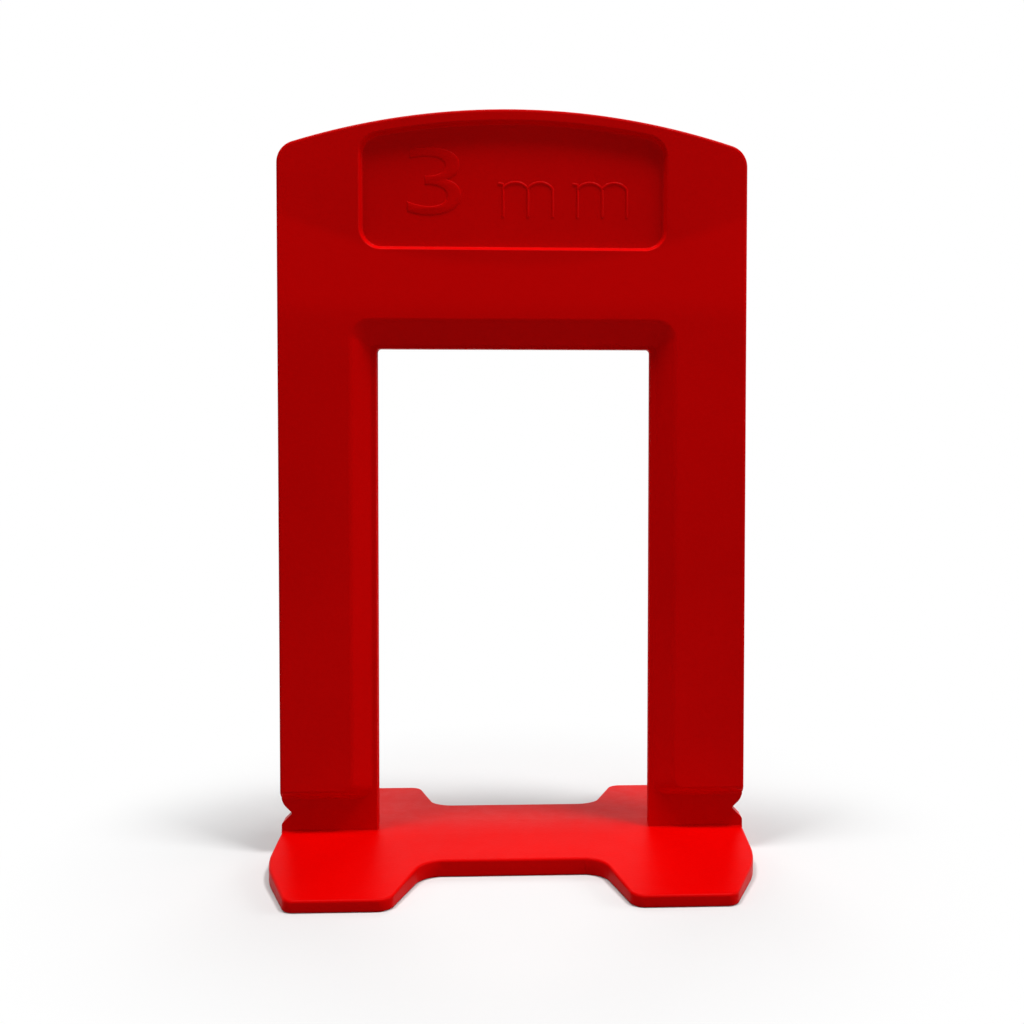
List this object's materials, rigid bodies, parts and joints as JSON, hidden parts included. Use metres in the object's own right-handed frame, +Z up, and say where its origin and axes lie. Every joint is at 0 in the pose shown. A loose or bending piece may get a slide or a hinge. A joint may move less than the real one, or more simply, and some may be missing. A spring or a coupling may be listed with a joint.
{
  "type": "tile levelling clip",
  "caption": "One-piece plastic clip: a crowned upright with a tall window for a wedge, on thin notched necks above a flat base with tabs at its corners.",
  "frame": {"origin": "centre of the base's underside", "axes": "+X across the clip, +Y through the tile joint, +Z up from the base to the crown"},
  "size_m": [0.0384, 0.026, 0.0613],
  "materials": {
    "red_plastic": "satin moulded"
  },
  "bodies": {
    "root": {"levelling_clip": "red_plastic"}
  },
  "joints": []
}
